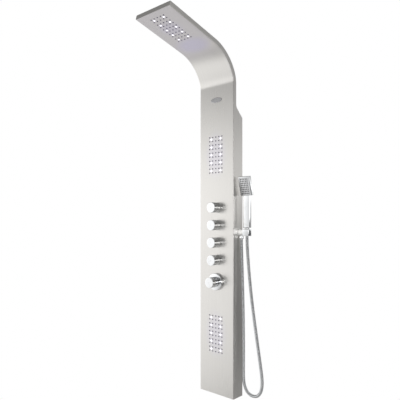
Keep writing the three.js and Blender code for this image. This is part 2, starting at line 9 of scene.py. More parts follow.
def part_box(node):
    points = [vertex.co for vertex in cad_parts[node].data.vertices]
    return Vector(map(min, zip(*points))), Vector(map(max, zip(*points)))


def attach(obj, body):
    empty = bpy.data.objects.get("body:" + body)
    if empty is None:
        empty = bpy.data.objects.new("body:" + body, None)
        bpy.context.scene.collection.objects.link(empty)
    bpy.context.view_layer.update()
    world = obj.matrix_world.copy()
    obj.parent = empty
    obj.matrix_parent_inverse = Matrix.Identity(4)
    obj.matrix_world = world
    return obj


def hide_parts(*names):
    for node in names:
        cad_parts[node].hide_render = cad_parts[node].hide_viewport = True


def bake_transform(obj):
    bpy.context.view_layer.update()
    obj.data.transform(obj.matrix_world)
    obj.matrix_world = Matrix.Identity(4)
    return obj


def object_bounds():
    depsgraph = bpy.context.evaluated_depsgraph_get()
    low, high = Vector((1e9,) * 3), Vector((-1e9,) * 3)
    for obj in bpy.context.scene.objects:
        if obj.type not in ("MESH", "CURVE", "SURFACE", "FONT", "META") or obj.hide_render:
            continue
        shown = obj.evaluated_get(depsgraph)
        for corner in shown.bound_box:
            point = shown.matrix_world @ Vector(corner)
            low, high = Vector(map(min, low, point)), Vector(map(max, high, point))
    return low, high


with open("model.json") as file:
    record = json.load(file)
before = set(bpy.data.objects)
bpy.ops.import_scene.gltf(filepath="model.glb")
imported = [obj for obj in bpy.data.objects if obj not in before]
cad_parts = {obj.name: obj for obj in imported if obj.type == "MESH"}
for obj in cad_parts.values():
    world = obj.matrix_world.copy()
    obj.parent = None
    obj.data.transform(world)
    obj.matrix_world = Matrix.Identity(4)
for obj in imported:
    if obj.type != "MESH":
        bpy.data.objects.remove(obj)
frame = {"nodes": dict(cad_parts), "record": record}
cad_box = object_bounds()
MM = 0.001


# Camera.
# A level camera stands to the right of the column, near the height of its middle, and looks
# past the front right edge.

CAMERA_PLACE = Vector((1.365, -1.702, -0.358))
CAMERA_HEADING = math.radians(41.91)
camera_data = bpy.data.cameras.new("camera")
camera_data.sensor_width = 36.0
camera_data.lens = 41.23
camera_data.shift_y = 0.0428
camera_data.clip_end = 60
camera = bpy.data.objects.new("camera", camera_data)
camera.location = CAMERA_PLACE
camera.rotation_euler = (math.pi / 2, 0, CAMERA_HEADING)
bpy.context.scene.collection.objects.link(camera)
bpy.context.scene.camera = camera
bpy.context.scene.view_settings.view_transform = "Standard"


# Studio light.
# A white room seen in steel: a broad soft light at the front left, bright to just above eye level,
# a strip light at the front right, and a darker room behind the column's right side.

class Value:
    """A number or colour on a shader socket. Sums on it add Math nodes to its tree."""

    def __init__(self, nodes, socket):
        self.nodes = nodes
        self.socket = socket

    def maths(self, operation, first, second=0.0):
        return self.nodes.add("Math", {"operation": operation}, {0: first, 1: second})

    def __add__(self, other):
        return self.maths("ADD", self, other)

    def __sub__(self, other):
        return self.maths("SUBTRACT", self, other)

    def __mul__(self, other):
        return self.maths("MULTIPLY", self, other)

    def sine(self):
        return self.maths("SINE", self)

    def smooth(self, low, high):
        """0 below low, 1 above high, and an even curve between them."""
        settings = {"interpolation_type": "SMOOTHSTEP"}
        return self.nodes.add("MapRange", settings, {"Value": self, 1: low, 2: high})

    def graded(self, *stops):
        """The number or colour that the stops, (place, level or colour), give at this place."""
        return self.nodes.add("ValToRGB", {"stops": stops}, {0: self})


class Nodes:
    """The nodes of one material or of the world."""

    def __init__(self, owner):
        owner.use_nodes = True
        self.tree = owner.node_tree
        self.owner = owner

    def add(self, kind, settings=None, inputs=None, output=0):
        """Adds a node: its settings first, then the values or links of its sockets."""
        node = self.tree.nodes.new("ShaderNode" + kind)
        for name, setting in (settings or {}).items():
            if name == "stops":
                self.set_stops(node.color_ramp, setting)
            else:
                setattr(node, name, setting)
        self.connect(node, inputs or {})
        return Value(self, node.outputs[output])

    def connect(self, node, inputs):
        for name, value in inputs.items():
            if isinstance(value, Value):
                self.tree.links.new(value.socket, node.inputs[name])
            else:
                node.inputs[name].default_value = value

    def set_stops(self, ramp, stops):
        while len(ramp.elements) < len(stops):
            ramp.elements.new(0.5)
        for element, (place, colour) in zip(ramp.elements, stops):
            element.position = place
            element.color = colour if isinstance(colour, tuple) else (colour, colour, colour, 1)

    def mixed(self, share, first, second):
        """Two colours mixed: the second one's share is given."""
        return self.add("Mix", {"data_type": "RGBA"}, {0: share, 6: first, 7: second}, 2)

    def position(self, scale=(1, 1, 1)):
        """Object coordinates in metres, times a scale along each axis."""
        place = self.add("TexCoord", output=3)
        return self.add("VectorMath", {"operation": "MULTIPLY"}, {0: place, 1: scale})


studio = Nodes(bpy.data.worlds.new("studio"))
bpy.context.scene.world = studio.owner
direction = studio.add("TexCoord", output=0)
height = studio.add("SeparateXYZ", inputs={0: direction}, output=2)


def towards(wanted, low, high):
    """1 where a direction's heading is near the wanted one, x and y, and 0 away from it."""
    level = studio.add("VectorMath", {"operation": "MULTIPLY"}, {0: direction, 1: (1, 1, 0)})
    heading = studio.add("VectorMath", {"operation": "NORMALIZE"}, {0: level})
    along = Vector((*wanted, 0)).normalized()
    dot = studio.add("VectorMath", {"operation": "DOT_PRODUCT"}, {0: heading, 1: along}, 1)
    return dot.smooth(low, high)


# The brightness of each side of the room, from straight down at 0 to straight up at 1. Level is 0.5.

FRONT_LEVELS = (
    (0.00, 0.64), (0.12, 0.78), (0.33, 0.84), (0.43, 1.00), (0.50, 1.07), (0.53, 1.24), (0.56, 1.26),
    (0.585, 0.95), (0.61, 0.66), (0.66, 0.30), (0.74, 0.20), (0.88, 0.17), (0.95, 0.60), (1.00, 0.9),
)
BACK_LEVELS = (
    (0.00, 0.62), (0.28, 0.50), (0.34, 0.18), (0.47, 0.15), (0.50, 0.32), (0.52, 0.86), (0.55, 1.02),
    (0.585, 0.52), (0.62, 0.34), (0.70, 0.30), (0.85, 0.45), (1.00, 0.9),
)
STRIP_LEVELS = (
    (0.00, 0.60), (0.20, 0.40), (0.32, 0.08), (0.44, 0.06), (0.455, 1.9), (0.545, 1.9), (0.56, 0.06),
    (0.72, 0.07), (0.85, 0.35), (1.00, 0.9),
)
ROUND_LEVELS = (
    (0.00, (0.58, 0.57, 0.60, 1)), (0.18, (0.63, 0.62, 0.66, 1)), (0.34, (0.62, 0.61, 0.64, 1)),
    (0.50, 0.55), (0.70, 0.60), (1.00, 0.9),
)
FRONT_LEFT = (-0.64, -0.77)
FAR_LEFT = (-0.9, -0.44)
FRONT_RIGHT = (0.64, -0.77)
BACK_RIGHT = (0.64, 0.77)
FRONT_SHARE = 0.68
FAR_LEFT_SHARE = 0.54
elevation = height * 0.5 + 0.5
strip_side = towards(FRONT_RIGHT, 0.55, 0.85)
sideways = studio.mixed(strip_side, elevation.graded(*ROUND_LEVELS), elevation.graded(*STRIP_LEVELS))
behind = studio.mixed(towards(BACK_RIGHT, 0.3, 0.8), sideways, elevation.graded(*BACK_LEVELS))
leftward = towards(FAR_LEFT, 0.80, 1.0) * FAR_LEFT_SHARE + FRONT_SHARE
front_colour = {0: elevation.graded(*FRONT_LEVELS), "Scale": leftward}
front_light = studio.add("VectorMath", {"operation": "SCALE"}, front_colour)
room = studio.mixed(towards(FRONT_LEFT, 0.35, 0.88), behind, front_light)
seen = studio.add("LightPath", output=0)
studio.connect(studio.tree.nodes["Background"], {0: studio.mixed(seen, room, (1, 1, 1, 1))})

# A narrow strip light behind the hand shower. It is seen only as a reflection, in the right sides
# of the handle and the head.

STRIP_SIZE = Vector((0.034, 0.24))
STRIP_GLOW = 0.75
STRIP_PLACE = Vector((0.252, 0.101, -0.32))
STRIP_HEADING = math.radians(144)
strip_data = bpy.data.lights.new("strip", "AREA")
strip_data.shape = "RECTANGLE"
strip_data.size, strip_data.size_y = STRIP_SIZE
strip_data.energy = STRIP_GLOW * math.pi * STRIP_SIZE.x * STRIP_SIZE.y
strip = bpy.data.objects.new("strip", strip_data)
strip.location = STRIP_PLACE
strip.rotation_euler = (math.pi / 2, 0, STRIP_HEADING)
strip.visible_camera = False
bpy.context.scene.collection.objects.link(strip)


# Floor.
# A pale bathroom floor, three quarters of a metre under the column, of honed light stone.

def mesh_object(name, bm):
    """Closes a bmesh into a named object at the origin."""
    mesh = bpy.data.meshes.new(name)
    bm.to_mesh(mesh)
    bm.free()
    made = bpy.data.objects.new(name, mesh)
    bpy.context.scene.collection.objects.link(made)
    return made


def material(name, **sockets):
    """A Principled material's nodes. Words in a socket's name are joined by underscores."""
    nodes = Nodes(bpy.data.materials.new(name))
    nodes.shader = nodes.tree.nodes["Principled BSDF"]
    finish(nodes, **sockets)
    return nodes


def finish(nodes, **sockets):
    nodes.connect(nodes.shader, {key.replace("_", " "): value for key, value in sockets.items()})


FLOOR_DROP = 0.75
FLOOR_RADIUS = 1.7
FLOOR_FORWARD = 0.2
stone = material("floor_stone", Roughness=0.55)
speckle = stone.add("TexNoise", inputs={"Vector": stone.position(), "Scale": 9.0, "Detail": 8.0})
finish(stone, Base_Color=speckle.graded((0.35, (0.84, 0.84, 0.83, 1)), (0.65, (0.90, 0.90, 0.89, 1))))
bm = bmesh.new()
bmesh.ops.create_circle(bm, cap_ends=True, segments=96, radius=FLOOR_RADIUS)
bmesh.ops.translate(bm, vec=(0, -FLOOR_FORWARD, cad_box[0].z - FLOOR_DROP), verts=bm.verts)
floor = mesh_object("floor", bm)
floor.data.materials.append(stone.owner)


# Shower hose.
# A double-lock spiral hose of polished steel strip, 14 mm across and nearly 1.5 m long. It leaves
# the outlet nut under the holder, hangs in one loop and comes up into the hand shower's cone nut.

HOSE_DIAMETER = 14 * MM
HOSE_PITCH = 4.4 * MM
WINDING = (1.0, 1.0, 0.97, 0.9)
HOSE_STEP = HOSE_PITCH / len(WINDING)
BOTTOM = cad_box[0].z
HOSE_ROUTE = [
    (0.112, -0.023, 0.7204), (0.1122, -0.023, 0.690), (0.114, -0.023, 0.640), (0.117, -0.023, 0.560),
    (0.1196, -0.023, 0.480), (0.1216, -0.023, 0.400), (0.123, -0.023, 0.320), (0.1238, -0.0232, 0.240),
    (0.124, -0.0235, 0.165), (0.1242, -0.024, 0.110), (0.1285, -0.0249, 0.070), (0.144, -0.028, 0.042),
    (0.166, -0.032, 0.0305), (0.190, -0.0365, 0.0302), (0.213, -0.041, 0.039), (0.232, -0.0446, 0.062),
    (0.2398, -0.046, 0.094), (0.2385, -0.0462, 0.130), (0.2325, -0.046, 0.168), (0.2255, -0.0455, 0.208),
    (0.2175, -0.0445, 0.250), (0.208, -0.043, 0.300), (0.194, -0.040, 0.370), (0.181, -0.037, 0.440),
    (0.169, -0.0335, 0.510), (0.1585, -0.0295, 0.580), (0.150, -0.026, 0.642), (0.145, -0.0239, 0.688),
    (0.1432, -0.0231, 0.718), (0.143, -0.023, 0.7355),
]


PARTS = 40


def smooth_route(points, step):
    """Points a step apart on one smooth curve through the given ones."""
    route = [Vector(point) for point in points]
    ends = [2 * route[0] - route[1], *route, 2 * route[-1] - route[-2]]
    fine = []
    for a, b, c, d in zip(ends, ends[1:], ends[2:], ends[3:]):
        for part in range(PARTS):
            t = part / PARTS
            curve = 2 * b + (c - a) * t + (2 * a - 5 * b + 4 * c - d) * t ** 2
            fine.append((curve + (3 * b - a - 3 * c + d) * t ** 3) / 2)
    fine.append(route[-1])
    length = sum((b - a).length for a, b in zip(fine, fine[1:]))
    spaces = round(length / step)
    target = length / spaces
    even = [fine[0]]
    walked = 0.0
    for a, b in zip(fine, fine[1:]):
        span = (b - a).length
        while walked + span >= target * len(even) - 1e-9 and len(even) < spaces:
            even.append(a.lerp(b, (target * len(even) - walked) / span))
        walked += span
    return [*even, fine[-1]], length


def tube(name, centres, radii):
    """A closed ten-sided tube with its own radius at each centre."""
    curve = bpy.data.curves.new(name, "CURVE")
    curve.dimensions = "3D"
    curve.bevel_depth = 1.0
    curve.bevel_resolution = 3
    curve.use_fill_caps = True
    line = curve.splines.new("POLY")
    line.points.add(len(centres) - 1)
    for point, centre, radius in zip(line.points, centres, radii):
        point.co = (*centre, 1)
        point.radius = radius
    holder = bpy.data.objects.new(name, curve)
    bpy.context.scene.collection.objects.link(holder)
    mesh = bpy.data.meshes.new_from_object(holder.evaluated_get(bpy.context.evaluated_depsgraph_get()))
    bpy.data.objects.remove(holder)
    made = bpy.data.objects.new(name, mesh)
    bpy.context.scene.collection.objects.link(made)
    for face in mesh.polygons:
        face.use_smooth = True
    return made


route = [(x, y, BOTTOM + z) for x, y, z in HOSE_ROUTE]
centres, hose_length = smooth_route(route, HOSE_STEP)
radii = [HOSE_DIAMETER / 2 * WINDING[index % len(WINDING)] for index in range(len(centres))]
hose = tube("spiral_hose", centres, radii)
spiral = material("hose_spiral", Metallic=1.0)
cloud = spiral.add("TexNoise", inputs={"Vector": spiral.position(), "Scale": 220.0, "Detail": 4.0})
finish(
    spiral,
    Base_Color=cloud.graded((0.3, (0.60, 0.61, 0.62, 1)), (0.7, (0.74, 0.75, 0.76, 1))),
    Roughness=cloud * 0.14 + 0.2,
)
hose.data.materials.append(spiral.owner)
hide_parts("shower_hose")
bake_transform(hose)


# Shell of the column.
# One brushed stainless front sheet, folded round both long edges, runs up the front, round the
# bend and out to the tip of the rain head. Two side plates and a rear cover are welded to it.

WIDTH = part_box("front_sheet")[1].x * 2 + 3 * MM
SHEET = 1.5 * MM
EDGE = 2.4 * MM
FRONT = -67 * MM
NECK = 20 * MM
FIRST_RADIUS = 100 * MM
FIRST_ANGLE = math.radians(25)
SECOND_RADIUS = 182 * MM
BEND_ANGLE = math.radians(75.8)
BEND_START = BOTTOM + 1428 * MM
SHOULDER_LOW = BOTTOM + 1278 * MM
SHOULDER_HIGH = BOTTOM + 1335 * MM
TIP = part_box("front_sheet")[0]
ALONG_HEAD = Vector((0, -math.sin(BEND_ANGLE), math.cos(BEND_ANGLE)))
first_centre = Vector((0, FRONT - FIRST_RADIUS, BEND_START))
out_of_bend = Vector((0, math.cos(FIRST_ANGLE), math.sin(FIRST_ANGLE)))
second_centre = first_centre + out_of_bend * (FIRST_RADIUS - SECOND_RADIUS)
OUT_OF_HEAD = Vector((0, math.cos(BEND_ANGLE), math.sin(BEND_ANGLE)))
bend_end = second_centre + OUT_OF_HEAD * SECOND_RADIUS
HEAD_RUN = (bend_end.y - TIP.y) / math.sin(BEND_ANGLE) - SHEET
SUPPORT = 3 * MM
FIRST_STEPS = 14
SECOND_STEPS = 26


def carry(bm, row, offset):
    """Extrudes a row of edges by an offset and gives the new row."""
    made = bmesh.ops.extrude_edge_only(bm, edges=row)["geom"]
    verts = [item for item in made if isinstance(item, bmesh.types.BMVert)]
    bmesh.ops.translate(bm, vec=offset, verts=verts)
    return [item for item in made if isinstance(item, bmesh.types.BMEdge)]


def carry_to_tip(bm, row, level):
    """Takes a row of edges from a level in the neck up, round the bend and out to the head's tip."""
    row = carry(bm, row, (0, 0, BEND_START - SUPPORT - level))
    row = carry(bm, row, (0, 0, SUPPORT))
    second_angle = BEND_ANGLE - FIRST_ANGLE
    turns = ((first_centre, FIRST_ANGLE, FIRST_STEPS), (second_centre, second_angle, SECOND_STEPS))
    for centre, angle, steps in turns:
        geometry = list({vert for edge in row for vert in edge.verts}) + row
        made = bmesh.ops.spin(
            bm, geom=geometry, cent=centre, axis=(1, 0, 0), dvec=(0, 0, 0), angle=angle,
            steps=steps, use_merge=False, use_duplicate=False,
        )["geom_last"]
        row = [item for item in made if isinstance(item, bmesh.types.BMEdge)]
    row = carry(bm, row, ALONG_HEAD * SUPPORT)
    return carry(bm, row, ALONG_HEAD * (HEAD_RUN - SUPPORT))


def row_of_edges(bm, points):
    verts = [bm.verts.new(point) for point in points]
    return [bm.edges.new(pair) for pair in zip(verts, verts[1:])]


def face_outward(bm, axis, sign):
    """Turns an open sheet so that its faces look along an axis."""
    bmesh.ops.recalc_face_normals(bm, faces=bm.faces)
    widest = max(bm.faces, key=lambda face: face.calc_area())
    if widest.normal[axis] * sign < 0:
        bmesh.ops.reverse_faces(bm, faces=bm.faces)


def smooth_by_angle(made, degrees):
    """Rounds the shading everywhere except over edges sharper than the angle."""
    bm = bmesh.new()
    bm.from_mesh(made.data)
    for face in bm.faces:
        face.smooth = True
    for edge in bm.edges:
        edge.smooth = len(edge.link_faces) == 2 and edge.calc_face_angle() < math.radians(degrees)
    bm.to_mesh(made.data)
    bm.free()


def apply_modifiers(made):
    bpy.context.view_layer.update()
    mesh = bpy.data.meshes.new_from_object(made.evaluated_get(bpy.context.evaluated_depsgraph_get()))
    made.modifiers.clear()
    made.data = mesh


def thicken(made, thickness):
    modifier = made.modifiers.new("thickness", "SOLIDIFY")
    modifier.thickness = thickness
    modifier.offset = -1
    modifier.use_even_offset = True
    apply_modifiers(made)


def folded_edge(side, steps=6):
    """The round from the side to the front at one long edge, as x and y."""
    points = []
    for step in range(steps + 1):
        angle = math.pi / 2 * step / steps
        x = WIDTH / 2 - EDGE * (1 - math.cos(angle))
        points.append((side * x, FRONT + EDGE * (1 - math.sin(angle)), BOTTOM))
    return points


bm = bmesh.new()
flat_edges = [(side * (WIDTH / 2 - EDGE - SUPPORT), FRONT, BOTTOM) for side in (-1, 1)]
section = folded_edge(-1) + flat_edges + folded_edge(1)[::-1]
row = row_of_edges(bm, section)
carry_to_tip(bm, row, BOTTOM)
face_outward(bm, 1, -1)
front = mesh_object("front_panel", bm)
thicken(front, SHEET)

# Holes in the front sheet: fifty nozzles and ten lamps in each of three fields, and five spindles.
# Each has a small countersink.

def middle_of(node):
    low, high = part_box(node)
    return (low + high) / 2


NOZZLE_HOLE = 3.1 * MM
LAMP_HOLE = 4.9 * MM
SPINDLE_HOLE = 7 * MM
PITCH = 18.4 * MM
COLUMNS = 5
ROWS = 10
CONTROLS = ("rain", "upper_jets", "lower_jets", "hand_outlet", "temperature")
MODULES = {}
for module in ("upper_jets", "lower_jets"):
    board_middle = middle_of(module + "_led_board")
    MODULES[module] = Matrix.Translation((board_middle.x, FRONT, board_middle.z))
rain_middle = middle_of("rain_led_board")
rain_middle -= OUT_OF_HEAD * (rain_middle - bend_end).dot(OUT_OF_HEAD)
MODULES["rain"] = Matrix.Translation(rain_middle) @ Matrix.Rotation(BEND_ANGLE, 4, "X")
NOZZLES = [
    ((column - (COLUMNS - 1) / 2) * PITCH, (line - (ROWS - 1) / 2) * PITCH)
    for line in range(ROWS) for column in range(COLUMNS)
]
LAMPS = [
    (1.5 * side * PITCH, (2 * line - ROWS / 2 + 1) * PITCH)
    for line in range(ROWS // 2) for side in (-1, 1)
]


def turned(name, profile, sides):
    """A mesh turned about the local Y axis from (radius, depth) points; minus depth is outwards.
    A third number rounds that corner of the profile."""
    bm = bmesh.new()
    verts = [bm.verts.new((point[0], point[1], 0)) for point in profile]
    for pair in zip(verts, verts[1:]):
        bm.edges.new(pair)
    for vert, point in zip(verts, profile):
        if len(point) > 2:
            bmesh.ops.bevel(
                bm, geom=[vert], offset=point[2], offset_type="OFFSET", affect="VERTICES", segments=3,
                profile=0.5, material=-1,
            )
    bmesh.ops.spin(
        bm, geom=bm.verts[:] + bm.edges[:], cent=(0, 0, 0), axis=(0, 1, 0), dvec=(0, 0, 0),
        angle=2 * math.pi, steps=sides, use_merge=True, use_duplicate=False,
    )
    bmesh.ops.remove_doubles(bm, verts=bm.verts, dist=1e-6)
    bmesh.ops.recalc_face_normals(bm, faces=bm.faces)
    mesh = bpy.data.meshes.new(name)
    bm.to_mesh(mesh)
    bm.free()
    return mesh


def stamp(bm, shape, place):
    """Adds a copy of a mesh at a place."""
    first = len(bm.verts)
    bm.from_mesh(shape)
    bm.verts.ensure_lookup_table()
    bmesh.ops.transform(bm, matrix=place, verts=bm.verts[first:])


def drill(name, radius, sides):
    """The solid that a countersunk hole takes out of a sheet: it starts outside the face at 0."""
    chamfer = 0.3 * MM
    outside = 0.4 * MM
    inside = 3 * MM
    return turned(name, [
        (0, -outside), (radius + chamfer + outside, -outside), (radius, chamfer), (radius, inside),
        (0, inside),
    ], sides)


def cut_holes(made, fill):
    """Cuts a panel with the solids that the function fill adds to a mesh."""
    bm = bmesh.new()
    fill(bm)
    tool = mesh_object("cutter", bm)
    modifier = made.modifiers.new("holes", "BOOLEAN")
    modifier.operation = "DIFFERENCE"
    modifier.solver = "EXACT"
    modifier.object = tool
    apply_modifiers(made)
    bpy.data.objects.remove(tool)


nozzle_drill = drill("nozzle_drill", NOZZLE_HOLE, 12)
lamp_drill = drill("lamp_drill", LAMP_HOLE, 20)
spindle_drill = drill("spindle_drill", SPINDLE_HOLE, 24)


def front_holes(bm):
    for place in MODULES.values():
        for x, z in NOZZLES:
            stamp(bm, nozzle_drill, place @ Matrix.Translation((x, 0, z)))
        for x, z in LAMPS:
            stamp(bm, lamp_drill, place @ Matrix.Translation((x, 0, z)))
    for control in CONTROLS:
        stamp(bm, spindle_drill, Matrix.Translation((0, FRONT, middle_of(control + "_spindle").z)))


cut_holes(front, front_holes)
smooth_by_angle(front, 25)


def brushed_steel(name, grain, glows=()):
    """Stainless steel with a satin grain; grain is how fast the scratches change along each axis.
    Each glow is a patch of lavender lamp light painted into the base colour: its middle, half sizes and
    strength."""
    steel = material(name, Metallic=1.0)
    fine = steel.add("TexNoise", inputs={"Vector": steel.position(grain), "Scale": 1.0, "Detail": 6.0})
    soft = steel.add("TexNoise", inputs={"Vector": steel.position(), "Scale": 7.0, "Detail": 3.0})
    bump = steel.add("Bump", inputs={"Strength": 0.05, "Distance": 0.0002, "Height": fine})
    tint = fine * 0.7 + soft * 0.3
    colour = tint.graded((0.30, (0.775, 0.757, 0.727, 1)), (0.70, (0.845, 0.827, 0.797, 1)))
    # Painted lamp light: near each glow's middle the base colour turns lavender, as if lit by the lamps.
    for middle, half_sizes, strength in glows:
        away = steel.add("VectorMath", {"operation": "SUBTRACT"}, {0: steel.position(), 1: middle})
        scaled = steel.add("VectorMath", {"operation": "DIVIDE"}, {0: away, 1: half_sizes})
        distance = steel.add("VectorMath", {"operation": "LENGTH"}, {0: scaled}, 1)
        painted_lamp_light = distance.smooth(1.0, 0.3) * strength
        colour = steel.mixed(painted_lamp_light, colour, (0.77, 0.745, 0.90, 1))
    finish(
        steel,
        Base_Color=colour,
        Roughness=fine * 0.10 + soft * 0.05 + 0.22,
        Normal=bump,
    )
    return steel.owner


# Painted lamp light: lavender patches in the front sheet's base colour, round each field of holes and in
# the throat just past the bend, stand in for the lamps' light falling on the steel.
FIELD_GLOW = Vector((75 * MM, 60 * MM, 135 * MM))
FIELD_GLOW_STRENGTH = 0.35
THROAT_GLOW = Vector((115 * MM, 70 * MM, 70 * MM))
THROAT_GLOW_STRENGTH = 0.62
THROAT_PAST_BEND = 30 * MM
glows = [(place.translation, FIELD_GLOW, FIELD_GLOW_STRENGTH) for place in MODULES.values()]
throat = bend_end + ALONG_HEAD * THROAT_PAST_BEND
glows.append((throat, THROAT_GLOW, THROAT_GLOW_STRENGTH))
front_steel = brushed_steel("brushed_front", (900, 6, 6), glows)
side_steel = brushed_steel("brushed_side", (6, 900, 6))
rear_steel = brushed_steel("brushed_rear", (900, 6, 6))
front.data.materials.append(front_steel)
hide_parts("front_sheet")
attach(front, "root")

# Side plates: full depth below, a curved shoulder, and the slim neck and head above. Each has a
# flange along its back edge, and the right one has the hole for the holder's shank.

SHOULDER_STEPS = 12
LOW_PULL = 28 * MM
HIGH_PULL = 19 * MM
FLANGE_WIDTH = 14 * MM
FLANGE_LAP = 0.1 * MM
FLANGE_STOP = 42 * MM
EDGE_BREAK = 0.5 * MM
SHANK_RADIUS = 10 * MM
SHANK_ROOM = 0.5 * MM


def shoulder_back(share):
    """Where the back edge is on the shoulder, from its low end to its high end, as y and z."""
    low = Vector((0, SHOULDER_LOW))
    high = Vector((FRONT + NECK, SHOULDER_HIGH))
    pull_low = low + Vector((-LOW_PULL, LOW_PULL))
    pull_high = high - Vector((0, HIGH_PULL))
    rest = 1 - share
    ends = rest ** 3 * low + share ** 3 * high
    return ends + 3 * rest * share * (rest * pull_low + share * pull_high)


def climb_shoulder(bm, row, back_verts_of):
    """Carries a row up the shoulder, moving its back vertices along the shoulder's line."""
    level = SHOULDER_LOW
    for step in range(1, SHOULDER_STEPS + 1):
        back = shoulder_back(step / SHOULDER_STEPS)
        row = carry(bm, row, (0, 0, back.y - level))
        for vert in back_verts_of(row):
            vert.co.y = back.x
        level = back.y
    return row


def back_vert(row):
    """The one vertex of a row that is furthest back, in a list."""
    return [max((vert for edge in row for vert in edge.verts), key=lambda vert: vert.co.y)]


for name, side in (("left", -1), ("right", 1)):
    bm = bmesh.new()
    face = side * WIDTH / 2
    row = row_of_edges(bm, [(face, FRONT + EDGE, BOTTOM), (face, 0, BOTTOM)])
    row = carry(bm, row, (0, 0, SHOULDER_LOW - BOTTOM))
    row = climb_shoulder(bm, row, back_vert)
    carry_to_tip(bm, row, SHOULDER_HIGH)
    face_outward(bm, 0, side)
    plate = mesh_object(f"side_panel_{name}", bm)
    thicken(plate, SHEET)
    bm = bmesh.new()
    bm.from_mesh(plate.data)
    back = [edge for edge in bm.edges if all(vert.co.y > -SHEET / 2 for vert in edge.verts)]
    flange = bmesh.ops.create_cube(bm, size=1)["verts"]
    flange_length = SHOULDER_LOW - BOTTOM - FLANGE_STOP
    bmesh.ops.scale(bm, vec=(FLANGE_WIDTH, SHEET, flange_length), verts=flange)
    inward = WIDTH / 2 - SHEET - (FLANGE_WIDTH / 2 - FLANGE_LAP)
    flange_middle = (side * inward, -SHEET / 2, BOTTOM + flange_length / 2)
    bmesh.ops.translate(bm, vec=flange_middle, verts=flange)
    bmesh.ops.bevel(
        bm, geom=back, offset=EDGE_BREAK, offset_type="OFFSET", affect="EDGES", segments=2, profile=0.5,
        material=-1,
    )
    bm.to_mesh(plate.data)
    bm.free()
    if side > 0:
        shank_drill = drill("shank_drill", SHANK_RADIUS + SHANK_ROOM, 32)
        hole = Matrix.Translation((WIDTH / 2, *middle_of("holder_lock_nut").yz))
        hole = hole @ Matrix.Rotation(math.pi / 2, 4, "Z")
        cut_holes(plate, lambda bm: stamp(bm, shank_drill, hole))
    smooth_by_angle(plate, 25)
    plate.data.materials.append(side_steel)
    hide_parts(f"side_plate_{name}")
    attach(plate, "root")

# Rear cover: closes the shoulder, the neck and the top of the head between the side plates. It
# starts a little below the shoulder, and the lower box stays open at the back.

COVER_DROP = 40 * MM
bm = bmesh.new()
half = WIDTH / 2 - SHEET
cover_low = SHOULDER_LOW - COVER_DROP
row = row_of_edges(bm, [(-half, 0, cover_low), (half, 0, cover_low)])
row = carry(bm, row, (0, 0, SHOULDER_LOW - cover_low))
row = climb_shoulder(bm, row, lambda row: list({vert for edge in row for vert in edge.verts}))
carry_to_tip(bm, row, SHOULDER_HIGH)
face_outward(bm, 1, 1)
cover = mesh_object("back_cover", bm)
thicken(cover, SHEET)
smooth_by_angle(cover, 25)
cover.data.materials.append(rear_steel)
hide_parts("rear_cover")
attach(cover, "root")

# End cap: a plate welded over the tip of the rain head, with its four corners ground to the same
# radius as the folded edges of the front sheet.

bm = bmesh.new()
bmesh.ops.create_cube(bm, size=1)
bmesh.ops.scale(bm, vec=(WIDTH, NECK, SHEET), verts=bm.verts)
bmesh.ops.bevel(
    bm, geom=[edge for edge in bm.edges if edge.calc_length() < 2 * SHEET], offset=EDGE,
    offset_type="OFFSET", affect="EDGES", segments=6, profile=0.5, material=-1,
)
tip_centre = bend_end + ALONG_HEAD * (HEAD_RUN + SHEET / 2) + OUT_OF_HEAD * (NECK / 2)
place = Matrix.Translation(tip_centre) @ Matrix.Rotation(BEND_ANGLE, 4, "X")
bmesh.ops.transform(bm, matrix=place, verts=bm.verts)
cap = mesh_object("tip_cap", bm)
smooth_by_angle(cap, 25)
cap.data.materials.append(rear_steel)
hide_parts("head_end_cap")
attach(cap, "root")


# Spray modules.
# Behind each field of holes a soft silicone mat presses fifty nozzle tips through the sheet, and ten
# clear lenses stand between them over white lamps. The rain head and both body jets are alike.

def ride_root(made, finish_material, slot, *nodes):
    """Gives a piece its material, lets it stand for CAD nodes and rides it on the column. The slot is
    not used.
    """
    made.data.materials.append(finish_material)
    if nodes:
        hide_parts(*nodes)
    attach(made, "root")


silicone = material("nozzle_silicone", Specular_IOR_Level=0.35)
mottle = silicone.add("TexNoise", inputs={"Vector": silicone.position(), "Scale": 400.0, "Detail": 3.0})
finish(
    silicone,
    Base_Color=mottle.graded((0.3, (0.13, 0.11, 0.21, 1)), (0.7, (0.20, 0.17, 0.30, 1))),
    Roughness=mottle * 0.2 + 0.45,
)
LAMP_GLOW = 1.2
lens = material(
    "lamp_lens", Roughness=0.12, Base_Color=(0.90, 0.89, 1.0, 1), Emission_Strength=LAMP_GLOW,
)
facet = lens.add("TexVoronoi", inputs={"Vector": lens.position(), "Scale": 900.0})
finish(lens, Emission_Color=facet.graded((0.0, (1.0, 0.99, 1.0, 1)), (0.8, (0.86, 0.84, 1.0, 1))))
tip_shape = turned("tip", [
    (0, -0.5 * MM), (0.55 * MM, -0.5 * MM), (0.75 * MM, -1.5 * MM), (1.6 * MM, -1.5 * MM),
    (2.3 * MM, -0.8 * MM), (2.6 * MM, 1.9 * MM), (0, 1.9 * MM),
], 10)
lens_shape = turned("lens", [
    (0, -0.8 * MM), (2.2 * MM, -0.6 * MM), (3.7 * MM, 0), (4.4 * MM, 0.9 * MM), (4.4 * MM, 3 * MM),
    (0, 3 * MM),
], 20)
WINDOW_HOLE = 4.7 * MM
WINDOW_DEPTH = 1.2 * MM
window_drill = drill("window_drill", WINDOW_HOLE, 20)
MAT_WIDTH = 94 * MM
MAT_LENGTH = 188 * MM
MAT_FRONT = 1.8 * MM
MAT_THICKNESS = 2 * MM
